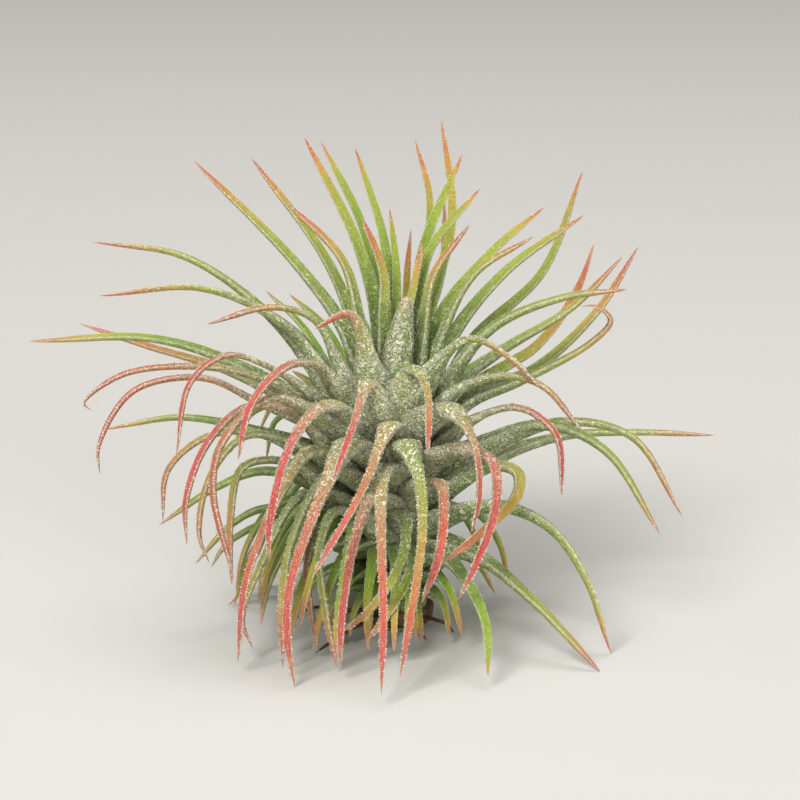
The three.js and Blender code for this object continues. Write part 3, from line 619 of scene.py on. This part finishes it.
def closed_skin(rings, marks):
    """Rings of points as one closed body, with a point in the middle of each end ring.

    Its marks are the numbers that the material reads, one for each point.
    """
    stations, sides = rings.shape[:2]
    points = np.concatenate([rings.reshape(-1, 3), rings[0].mean(0)[None], rings[-1].mean(0)[None]])
    quads, fans = ring_faces(stations, sides)
    flat = {name: np.concatenate([value.ravel(), [value[0].mean(), value[-1].mean()]])
            for name, value in marks.items()}
    return {"points": points, "quads": quads, "fans": fans, "marks": flat}


def joined(bodies):
    """Several closed bodies as one set of points and faces."""
    starts = np.cumsum([0] + [len(b["points"]) for b in bodies[:-1]])
    return {
        "points": np.concatenate([b["points"] for b in bodies]),
        "quads": np.concatenate([b["quads"] + k for b, k in zip(bodies, starts)]),
        "fans": np.concatenate([b["fans"] + k for b, k in zip(bodies, starts)]),
        "marks": {name: np.concatenate([b["marks"][name] for b in bodies])
                  for name in bodies[0]["marks"]},
    }


def placed(name, data):
    """A new object with that data, in the scene."""
    thing = bpy.data.objects.new(name, data)
    bpy.context.scene.collection.objects.link(thing)
    return thing


def make_piece(name, body, material, nodes):
    """A mesh object from points in millimetres, riding on the plant in place of those nodes."""
    mesh = bpy.data.meshes.new(name)
    quads, fans = body["quads"], body["fans"]
    corners = np.concatenate([quads.ravel(), fans.ravel()])
    starts = np.concatenate([np.arange(len(quads)) * 4, len(quads) * 4 + np.arange(len(fans)) * 3])
    mesh.vertices.add(len(body["points"]))
    mesh.vertices.foreach_set("co", (body["points"] * MM).astype(np.float32).ravel())
    mesh.loops.add(len(corners))
    mesh.loops.foreach_set("vertex_index", corners.astype(np.int32))
    mesh.polygons.add(len(starts))
    mesh.polygons.foreach_set("loop_start", starts.astype(np.int32))
    mesh.polygons.foreach_set("use_smooth", np.ones(len(starts), bool))
    for mark, values in body["marks"].items():
        layer = mesh.attributes.new(mark, "FLOAT", "POINT")
        layer.data.foreach_set("value", values.astype(np.float32))
    mesh.update(calc_edges=True)
    mesh.materials.append(material)
    piece = placed(name, mesh)
    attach(piece, BODY)
    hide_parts(*nodes)


# ---- scales: the tiny silver flakes that stand on the leaves


def flake_bodies(rings, marks, seed, count, settings, teeth=1):
    """Flakes seeded over a leaf's skin, each a flat eight-faced grain with a tilted long axis.

    Most of them sit along the two margins, and the rest anywhere round the section. They crowd
    towards the root. Each grain is centred near the skin, and its long axis points to the tip and
    outwards, further out on the margins, where teeth sets how large the grains are.
    """
    rng = np.random.default_rng(seed)
    size = settings.flake_size / MM
    stations, sides = rings.shape[:2]
    run = stations - 2 * BARE_RINGS
    station = (rng.random(count) ** FLAKE_CROWDING * run).astype(int) + BARE_RINGS
    side = rng.integers(0, sides, count)
    margin = rng.random(count) < MARGIN_FLAKES
    edge = np.where(rng.random(count) < 0.5, 0, sides // 2) + rng.integers(-1, 2, count)
    side = np.where(margin, edge, side) % sides
    centre = rings[station, side]
    along = unit(rings[station + 1, side] - rings[station - 1, side])
    round_ = unit(rings[station, (side + 1) % sides] - rings[station, (side - 1) % sides])
    out = unit(np.cross(round_, along))
    tilts = rng.uniform(*MARGIN_TILT, count), rng.uniform(*FACE_TILT, count)
    tilt = np.where(margin, *tilts)[:, None]
    grow = (size * rng.uniform(*FLAKE_SPREAD, count) * np.where(margin, teeth, FACE_FLAKE))[:, None]
    long_axis = (along * np.cos(tilt) + out * np.sin(tilt)) * grow
    thin_axis = (out * np.cos(tilt) - along * np.sin(tilt)) * grow * FLAKE_THICKNESS
    broad_axis = round_ * grow * FLAKE_BREADTH
    corners = np.stack([long_axis, broad_axis, thin_axis, -long_axis, -broad_axis, -thin_axis], 1)
    points = centre[:, None] + out[:, None] * grow[:, None] * FLAKE_LIFT + corners
    points[..., 2] = np.maximum(points[..., 2], FLOOR_CLEARANCE)
    faces = np.array([(1, 0, 2), (3, 1, 2), (4, 3, 2), (0, 4, 2),
                      (0, 1, 5), (1, 3, 5), (3, 4, 5), (4, 0, 5)])
    fans = (faces[None] + 6 * np.arange(count)[:, None, None]).reshape(-1, 3)
    flat = {name: np.repeat(value[station, side], 6) for name, value in marks.items()}
    flat["flake"] = np.ones(6 * count)
    return {"points": points.reshape(-1, 3), "quads": np.empty((0, 4), int), "fans": fans,
            "marks": flat}


# ---- node groups and materials


def feed(tree, node, values):
    """Gives a node's inputs those values: plain ones are set, and sockets are linked."""
    for socket, value in values.items():
        if isinstance(value, bpy.types.NodeSocket):
            tree.links.new(value, node.inputs[socket])
        else:
            node.inputs[socket].default_value = value


def add(tree, kind, values=(), **settings):
    """A node with its settings, whose inputs are given those values."""
    node = tree.nodes.new(kind)
    for name, value in settings.items():
        setattr(node, name, value)
    feed(tree, node, dict(values))
    return node


def calc(tree, operation, *values, clamp=False):
    """The result of one Math node on plain values or sockets."""
    node = add(tree, "ShaderNodeMath", enumerate(values), operation=operation, use_clamp=clamp)
    return node.outputs[0]


def above(tree, value, level, amount, clamp=False):
    """How far a value lies above a level, times an amount."""
    return calc(tree, "MULTIPLY", calc(tree, "SUBTRACT", value, level), amount, clamp=clamp)


def fading(tree, value, sharpness):
    """One less a value times its sharpness, held between 0 and 1."""
    return calc(tree, "SUBTRACT", 1, calc(tree, "MULTIPLY", value, sharpness), clamp=True)


def blend(tree, factor, low, high):
    """The result of one colour Mix node: low where the factor is 0, high where it is 1."""
    return add(tree, "ShaderNodeMix", {0: factor, 6: low, 7: high}, data_type="RGBA").outputs[2]


def noise(tree, place, values):
    """The strength of a Noise Texture at that place."""
    return add(tree, "ShaderNodeTexNoise", {"Vector": place, **values}).outputs["Fac"]


def raised(tree, height, values):
    """The normal of a surface that stands out by that height."""
    return add(tree, "ShaderNodeBump", {"Height": height, **values}).outputs["Normal"]


def object_place(tree):
    """Each point's place in its object's own frame."""
    return add(tree, "ShaderNodeTexCoord").outputs["Object"]


def mark(tree, name):
    """The number that a piece's points carry under that name."""
    return add(tree, "ShaderNodeAttribute", attribute_name=name).outputs["Fac"]


def ramp(tree, factor, stops):
    """The colour of a ramp with those (place, colour) stops."""
    node = add(tree, "ShaderNodeValToRGB", {0: factor})
    band = node.color_ramp
    band.elements.remove(band.elements[1])
    for i, (place, colour) in enumerate(stops):
        element = band.elements[0] if i == 0 else band.elements.new(place)
        element.position = place
        element.color = (*paint(colour), 1)
    return node.outputs[0]


def new_group(name, inputs, kind, outputs):
    """An empty shader node group: number inputs with their defaults, and outputs of one kind."""
    tree = bpy.data.node_groups.new(name, "ShaderNodeTree")
    for label, default in inputs.items():
        socket = tree.interface.new_socket(label, in_out="INPUT", socket_type="NodeSocketFloat")
        socket.default_value = default
    for label in outputs:
        tree.interface.new_socket(label, in_out="OUTPUT", socket_type=kind)
    return tree, tree.nodes.new("NodeGroupInput"), tree.nodes.new("NodeGroupOutput")


def scale_cover_group():
    """Node group: the maze of silver scales on a leaf, as a mask and a height.

    A noise is folded about its middle, which draws winding lines, and cell centres add dots.
    More cover lowers the level at which either shows.
    """
    tree, given, result = new_group(
        "scale_cover", {"Grain": 1500, "Cover": 0.5}, "NodeSocketFloat", ("Mask", "Height"))
    place, grain = object_place(tree), given.outputs["Grain"]
    folded = calc(tree, "SUBTRACT", noise(tree, place, {"Scale": grain, **MAZE_NOISE}), 0.5)
    maze = fading(tree, calc(tree, "ABSOLUTE", folded), MAZE_SHARPNESS)
    fine = calc(tree, "MULTIPLY", grain, DOT_GRAIN)
    cells = add(tree, "ShaderNodeTexVoronoi", {"Vector": place, "Scale": fine})
    dots = fading(tree, cells.outputs["Distance"], DOT_SHARPNESS)
    both = calc(tree, "MAXIMUM", maze, calc(tree, "MULTIPLY", dots, DOT_SHARE))
    level = calc(tree, "SUBTRACT", 1, given.outputs["Cover"])
    mask = above(tree, both, level, SCALE_EDGE, clamp=True)
    feed(tree, result, {"Mask": mask, "Height": both})


def streak_group():
    """Node group: the fine lines that run along a leaf, from its side and length marks.

    A noise is squeezed across the leaf and drawn out along it.
    """
    tree, given, result = new_group(
        "leaf_streaks", {"Fineness": STREAK_FINENESS}, "NodeSocketFloat", ["Streak"])
    across = calc(tree, "MULTIPLY", mark(tree, "side"), given.outputs["Fineness"])
    along = calc(tree, "MULTIPLY", mark(tree, "length"), STREAK_LENGTH)
    place = add(tree, "ShaderNodeCombineXYZ", {0: across, 1: along}).outputs[0]
    streak = above(tree, noise(tree, place, STREAK_NOISE), 0.5, STREAK_EDGE, clamp=True)
    feed(tree, result, {"Streak": streak})


def leaf_tone_group():
    """Node group: a living leaf's own colour from root to tip, under its scales.

    Three ramps run from the root's green to the tip: one stays fresh, one blushes straight into
    rose and one turns gold first. The leaf's gold mixes the last two, and its redness mixes their
    sum with the first. Broad patches shift the place along the ramps a little.
    """
    tree, given, result = new_group(
        "leaf_tone", {"Ripeness": 0, "Redness": 0.5, "Gold": 0.5}, "NodeSocketColor", ["Colour"])
    shift = above(tree, noise(tree, object_place(tree), PATCH_NOISE), 0.5, PATCH_SHIFT)
    ripe = calc(tree, "ADD", given.outputs["Ripeness"], shift)
    fresh, rosy, golden = (ramp(tree, ripe, stops) for stops in TONE_STOPS)
    blushed = blend(tree, given.outputs["Gold"], rosy, golden)
    feed(tree, result, {"Colour": blend(tree, given.outputs["Redness"], fresh, blushed)})


def new_material(name):
    """A new material, its node tree and its shader."""
    material = bpy.data.materials.new(name)
    material.use_nodes = True
    return material, material.node_tree, material.node_tree.nodes["Principled BSDF"]


def leaf_material(settings):
    """The living leaf: its tone, the silver scales over it and their fine relief."""
    material, tree, shader = new_material("living_leaf")
    groups = bpy.data.node_groups
    cover, silver = mark(tree, "cover"), (*settings.silver, 1)
    tone = add(tree, "ShaderNodeGroup",
               {"Ripeness": mark(tree, "ripe"), "Redness": mark(tree, "red"),
                "Gold": mark(tree, "gold")}, node_tree=groups["leaf_tone"])
    scales = add(tree, "ShaderNodeGroup", {"Cover": cover, "Grain": settings.scale_grain},
                 node_tree=groups["scale_cover"])
    streak = add(tree, "ShaderNodeGroup", node_tree=groups["leaf_streaks"]).outputs["Streak"]
    haze = calc(tree, "MULTIPLY", cover, HAZE)
    lined = calc(tree, "MULTIPLY", streak, STREAK_SILVER)
    edged = calc(tree, "MULTIPLY", mark(tree, "rim"), RIM_SILVER)
    veil = calc(tree, "MAXIMUM", calc(tree, "ADD", haze, lined), edged, clamp=True)
    veiled = blend(tree, veil, tone.outputs["Colour"], silver)
    flake = calc(tree, "MULTIPLY", mark(tree, "flake"), FLAKE_SILVER)
    dense = calc(tree, "MULTIPLY_ADD", cover, DENSE_SILVER, SPARSE_SILVER, clamp=True)
    grown = calc(tree, "MULTIPLY", scales.outputs["Mask"], dense)
    white = calc(tree, "MAXIMUM", calc(tree, "MULTIPLY", grown, SCALE_SILVER), flake)
    rough = calc(tree, "ADD", calc(tree, "MULTIPLY", white, SCALE_ROUGHNESS), LEAF_ROUGHNESS)
    relief = calc(tree, "MULTIPLY", scales.outputs["Height"], calc(tree, "ADD", cover, BARE_RELIEF))
    relief = calc(tree, "ADD", relief, calc(tree, "MULTIPLY", streak, STREAK_RELIEF))
    feed(tree, shader, {"Base Color": blend(tree, white, veiled, silver), "Roughness": rough,
                        "Normal": raised(tree, relief, LEAF_RELIEF), **LEAF_FINISH})
    return material


def living_leaf(settings):
    """The one material of all the living leaves, made on its first use with its node groups."""
    ready = bpy.data.materials.get("living_leaf")
    if not ready:
        for make_group in (scale_cover_group, leaf_tone_group, streak_group):
            make_group()
    return ready or leaf_material(settings)


def dead_leaf_and_painted_shade():
    """The material of dead tissue: brown, partly darkened as painted shade for the stem's shaded
    foot, and fibrous by a noise that is drawn out upwards.
    """
    material, tree, shader = new_material("dead_leaf_and_painted_shade")
    place = add(tree, "ShaderNodeMapping", {"Vector": object_place(tree), "Scale": FIBRE_STRETCH})
    fibres = noise(tree, place.outputs[0], FIBRE_NOISE)
    feed(tree, shader, {"Base Color": ramp(tree, fibres, DEAD_BROWN_AND_SHADE_STOPS),
                        "Normal": raised(tree, fibres, DEAD_RELIEF), **DEAD_FINISH})
    return material


# ---- one leaf, whole


def leaf_body(settings, form, azimuth, height, width, blush_start, redness, gold, points, seed,
              mesh_size=None, flakes=None):
    """A leaf's skin and scales, with the marks that its material reads.

    Ripeness runs from 0 at the root to a half where the blush starts and 1 at the tip. The cover
    of scales is full nearly up to the crest and thins out from there, and it is fuller on the
    underside and along the margins.
    """
    terms = LEAF_FORMS[form]
    rings, where = leaf_skin(terms, azimuth, height, width * settings.fullness, points, seed,
                             mesh_size or (settings.stations, settings.sides))
    share, rim, upper = where["share"], where["rim"], where["upper"]
    before = 0.5 * share / blush_start
    after = 0.5 + 0.5 * (share - blush_start) / (1 - blush_start)
    past = np.clip((share - terms["crest"] * THINNING_START) / THINNING_LENGTH, 0, 1)
    cover = terms["frost"] * (1 - THINNING * past ** THINNING_CURVE) - UPPER_LESS * upper
    marks = {
        "ripe": np.where(share < blush_start, before, after) - UNDERSIDE_LAG * (1 - upper),
        "red": redness * (UNDERSIDE_RED + (1 - UNDERSIDE_RED) * upper),
        "gold": np.full_like(share, gold),
        "cover": np.clip(cover + RIM_MORE * rim, *COVER_RANGE),
        "flake": np.zeros_like(share),
        "rim": rim,
        "side": where["side"],
        "length": where["length"],
    }
    grains = flake_bodies(rings, marks, seed + FLAKE_SEED, flakes or settings.flakes, settings,
                          terms["teeth"])
    return joined([closed_skin(rings, marks), grains])


def tier_rows(tiers, first_seed, blush_start, redness):
    """Rows for the leaves of some tiers, spread evenly over each tier with a seeded drift.

    A leaf near the sides is shortened, so that its reach to the side stays within the limit.
    """
    rows = []
    for tier, (count, first, last, height, width, profile) in enumerate(tiers):
        for i in range(count):
            seed = first_seed + SEEDS_A_TIER * tier + i
            azimuth = first + (last - first) * i / (count - 1) + TIER_SCATTER * scatter(seed)
            full_reach = profile[-1][0]
            sideways = full_reach * abs(math.cos(math.radians(azimuth)))
            shorten = min(1, TIER_SIDE_LIMIT / sideways)
            shorten *= 1 + TIER_REACH_SPREAD * scatter(seed + TIER_REACH_SEED)
            drift = TIER_SCATTER * scatter(seed + TIER_DRIFT_SEED)
            lift = TIER_LIFT_SPREAD * scatter(seed + TIER_LIFT_SEED) / (len(profile) - 1)
            points = [(azimuth + drift * k, reach * shorten, level * (1 + lift * k))
                      for k, (reach, level) in enumerate(profile)]
            rows.append(("shaded", azimuth, height, width, blush_start, redness, TIER_GOLD, points,
                         seed))
    return rows


def turned_skin(profile, mesh_size, shape):
    """Rings of a turned form about the upright axis, from (height, radius) pairs read upwards.

    shape turns the radii, angles and heights into new radii.
    """
    levels, radii = zip(*profile)
    height = np.linspace(levels[0], levels[-1], mesh_size[0])[:, None]
    angle = np.linspace(0, 2 * math.pi, mesh_size[1], endpoint=False)[None, :]
    radius = shape(np.interp(height, levels, radii), angle, height)
    return np.stack([radius * np.cos(angle), radius * np.sin(angle),
                     np.broadcast_to(height, radius.shape)], -1)


def plain_marks(rings, **given):
    """The marks of a turned skin: nought but for those given, and its heights for the length."""
    level = np.ones(rings.shape[:2])
    marks = {name: level * given.get(name, 0)
             for name in ("ripe", "red", "gold", "cover", "flake", "rim", "side")}
    return {**marks, "length": rings[..., 2]}


# ---- what a user can change


class PlantSettings(bpy.types.PropertyGroup):
    """Sizes and colours of the plant."""

    stations: bpy.props.IntProperty(
        name="Stations", description="Rings of points along a leaf", default=130, min=12)
    sides: bpy.props.IntProperty(
        name="Sides", description="Points round a leaf's section", default=26, min=8)
    fullness: bpy.props.FloatProperty(
        name="Fullness", description="Leaf width against the plain model's", default=1.0,
        subtype="FACTOR", min=0.5, max=1.5)
    flakes: bpy.props.IntProperty(
        name="Scales", description="Standing scales on each leaf", default=900, min=0)
    flake_size: bpy.props.FloatProperty(
        name="Scale length", description="Half the length of a standing scale", default=0.00015,
        unit="LENGTH", precision=6)
    scale_grain: bpy.props.FloatProperty(
        name="Scale grain", description="Folds of the scale cover in a metre", default=1500)
    silver: bpy.props.FloatVectorProperty(
        name="Silver", description="Colour of the scales", default=paint("#eeebcb"),
        subtype="COLOR", size=3, min=0, max=1)


class StageSettings(bpy.types.PropertyGroup):
    """The floor, the lights and the camera."""

    floor: bpy.props.FloatVectorProperty(
        name="Floor", description="Colour of the floor", default=paint("#c6c4bf"),
        subtype="COLOR", size=3, min=0, max=1)
    elevation: bpy.props.FloatProperty(
        name="Camera elevation", description="Angle of the camera above the horizon",
        default=math.radians(14), subtype="ANGLE")
    distance: bpy.props.FloatProperty(
        name="Camera distance", description="From the camera to the plant's middle",
        default=0.4, unit="LENGTH")
    target: bpy.props.FloatVectorProperty(
        name="Camera target", description="The point in the middle of the view",
        default=(0, 0, 0.033), subtype="TRANSLATION", size=3)
    frame_width: bpy.props.FloatProperty(
        name="View width", description="How much the view takes in at the target",
        default=0.112, unit="LENGTH")


# ---- operators, one for each group of pieces


class PLANT_OT_free_leaves(bpy.types.Operator):
    """Make each leaf that stands free, in place of its plain solid"""

    bl_idname = "air_plant.free_leaves"
    bl_label = "Free leaves"

    def execute(self, context):
        settings = context.scene.air_plant
        material = living_leaf(settings)
        for seed, (node, *row) in enumerate(FREE_LEAVES):
            make_piece("leaf_" + node, leaf_body(settings, *row, seed), material, [node])
        return {"FINISHED"}


class PLANT_OT_stem(bpy.types.Operator):
    """Make the stem, the bud and the leaves that are fused to the stem"""

    bl_idname = "air_plant.stem"
    bl_label = "Stem, bud and fused leaves"

    def execute(self, context):
        settings = context.scene.air_plant
        material = living_leaf(settings)
        side = [leaf_body(settings, *row, STEM_LEAF_SEED + i) for i, row in enumerate(STEM_LEAVES)]
        middle = len(side) // 2
        bodies = {"stem_leaves_back": joined(side[:middle]),
                  "stem_leaves_front": joined(side[middle:])}
        for name, *group in TIER_GROUPS:
            bodies[name] = joined([
                leaf_body(settings, *row, SHADED_MESH, settings.flakes // SHADED_FLAKES)
                for row in tier_rows(*group)])
        bodies.update(bud=bud_body(settings), stem_core=core_body())
        for name, body in bodies.items():
            make_piece(name, body, material, ["stem"])
        return {"FINISHED"}


def core_shape(radius, angle, height):
    """The stem's skin, ringed by the scars and sheaths of old leaves: shallow slanting waves.

    They are the product of two sine waves that climb as they go round, and fade in between 1 and
    3 mm above the foot.
    """
    first, second = (np.sin(turns * angle + climb * height) for turns, climb in SCAR_WAVES)
    fade = np.clip((height - 1) / 2, 0, 1)
    return radius * (1 + SCAR_DEPTH * (first * second) * fade) - STEM_INSET * fade


def core_body():
    """The stem itself, with the marks of young green tissue under a thin cover of scales."""
    rings = turned_skin(STEM_PROFILE, CORE_MESH, core_shape)
    return closed_skin(rings, plain_marks(rings, ripe=YOUNG_RIPENESS, cover=CORE_COVER))


def bud_shape(radius, angle, height):
    """The bud's skin: a rolled leaf, whose radius grows round a turn and steps back at the seam."""
    seam = math.radians(BUD_SEAM) + SEAM_TWIST * (height - SEAM_LEVEL)
    turn = ((angle - seam) / (2 * math.pi)) % 1
    step = np.clip(turn / SEAM_SHARE, 0, 1)
    return radius * (1 + BUD_STEP * (step * (1 - turn) - 0.5))


def bud_body(settings):
    """The rolled young leaves in the middle, leaning with the stem's top."""
    rings = turned_skin(BUD_PROFILE, BUD_MESH, bud_shape)
    lean = math.radians(BUD_LEAN)
    x, z = rings[..., 0] - BUD_OFFSET, rings[..., 2].copy()
    rings[..., 0] = x * math.cos(lean) + z * math.sin(lean)
    rings[..., 2] = z * math.cos(lean) - x * math.sin(lean)
    share = np.linspace(0, 1, BUD_MESH[0])[:, None]
    tip = share ** BUD_TIP_POWER
    marks = plain_marks(rings, ripe=YOUNG_RIPENESS + BUD_BLUSH * tip, red=1,
                        cover=BUD_COVER - BUD_THINNING * tip, rim=share ** BUD_RIM_POWER)
    grains = flake_bodies(rings, marks, BUD_FLAKE_SEED, settings.flakes * 2, settings)
    return joined([closed_skin(rings, marks), grains])


class PLANT_OT_dry_leaves(bpy.types.Operator):
    """Make the dry collar and the dead leaves at the stem's foot"""

    bl_idname = "air_plant.dry_leaves"
    bl_label = "Dry collar and dead leaves"

    def execute(self, context):
        # the dead leaves' brown is partly painted shade, darkened for the shaded foot
        material = bpy.data.materials.get("dead_leaf_and_painted_shade") or dead_leaf_and_painted_shade()
        collar = closed_skin(turned_skin(COLLAR_PROFILE, COLLAR_MESH, core_shape), {})
        make_piece("dry_collar", collar, material, ["dry_leaves"])
        bodies = []
        for i, (azimuth, points) in enumerate(DRY_LEAVES):
            rings, _ = leaf_skin(LEAF_FORMS["arching"], azimuth, DRY_ROOT_HEIGHT,
                                 DRY_WIDTH * SHRIVELLED, points, DRY_LEAF_SEED + i, DEAD_MESH)
            bodies.append(closed_skin(rings, {}))
        make_piece("dead_leaves", joined(bodies), material, ["dry_leaves"])
        return {"FINISHED"}


class PLANT_OT_stage(bpy.types.Operator):
    """Make the floor, the lights and the camera"""

    bl_idname = "air_plant.stage"
    bl_label = "Stage"

    def execute(self, context):
        stage = context.scene.air_plant_stage
        make_floor(stage)
        make_lights()
        make_camera(stage)
        context.scene.view_settings.view_transform = "Standard"
        return {"FINISHED"}


def make_floor(stage):
    """A wide flat floor at the level that the plant stands on."""
    mesh = bpy.data.meshes.new("floor")
    corners = [(x * FLOOR_HALF, y * FLOOR_HALF, 0) for x, y in ((-1, -1), (1, -1), (1, 1), (-1, 1))]
    mesh.from_pydata(corners, [], [(0, 1, 2, 3)])
    floor = placed("floor", mesh)
    material, tree, shader = new_material("pale_floor")
    feed(tree, shader, {"Base Color": (*stage.floor, 1), "Roughness": FLOOR_ROUGHNESS})
    mesh.materials.append(material)


def turn_to(holder, direction):
    """Turns a lamp or a camera, which looks down its own -Z, so that it looks in that direction."""
    holder.rotation_euler = direction.to_track_quat("-Z", "Y").to_euler()


def make_lights():
    """Large soft lamps aimed at the plant's middle, and an even grey surround."""
    for name, place, size, power in LIGHTS:
        lamp = bpy.data.lights.new(name, "AREA")
        lamp.size, lamp.energy = size, power
        holder = placed(name, lamp)
        holder.location = place
        turn_to(holder, Vector(LIGHT_AIM) - Vector(place))
    world = bpy.data.worlds.new("surround")
    world.use_nodes = True
    backdrop = world.node_tree.nodes["Background"]
    feed(world.node_tree, backdrop, {"Color": (*paint(SURROUND), 1), "Strength": WORLD_LIGHT})
    bpy.context.scene.world = world


def make_camera(stage):
    """A long lens at the photograph's angle, whose view at the target is frame_width across."""
    camera = bpy.data.cameras.new("camera")
    camera.sensor_width = SENSOR_WIDTH
    camera.lens = SENSOR_WIDTH * stage.distance / stage.frame_width
    camera.clip_start = NEAREST_SEEN
    holder = placed("camera", camera)
    back = Vector((0, -math.cos(stage.elevation), math.sin(stage.elevation)))
    holder.location = Vector(stage.target) + stage.distance * back
    turn_to(holder, -back)
    bpy.context.scene.camera = holder


class PLANT_PT_panel(bpy.types.Panel):
    """The plant's sizes, colours and steps in the sidebar"""

    bl_idname = "PLANT_PT_panel"
    bl_label = "Air plant"
    bl_space_type = "VIEW_3D"
    bl_region_type = "UI"
    bl_category = "Air plant"

    def draw(self, context):
        layout = self.layout
        for group in (context.scene.air_plant, context.scene.air_plant_stage):
            box = layout.box()
            for name in group.__annotations__:
                box.prop(group, name)
        for operator in OPERATORS:
            layout.operator(operator.bl_idname)


OPERATORS = (PLANT_OT_free_leaves, PLANT_OT_stem, PLANT_OT_dry_leaves, PLANT_OT_stage)
CLASSES = (PlantSettings, StageSettings, *OPERATORS, PLANT_PT_panel)


def register():
    """Adds the classes, and the settings to every scene."""
    for each in CLASSES:
        bpy.utils.register_class(each)
    bpy.types.Scene.air_plant = bpy.props.PointerProperty(type=PlantSettings)
    bpy.types.Scene.air_plant_stage = bpy.props.PointerProperty(type=StageSettings)


def unregister():
    """Takes the settings and the classes away again."""
    del bpy.types.Scene.air_plant_stage
    del bpy.types.Scene.air_plant
    for each in reversed(CLASSES):
        bpy.utils.unregister_class(each)


def main():
    """Builds the plant and its stage."""
    register()
    bpy.ops.air_plant.free_leaves()
    bpy.ops.air_plant.stem()
    bpy.ops.air_plant.dry_leaves()
    bpy.ops.air_plant.stage()


if __name__ == "__main__":
    main()
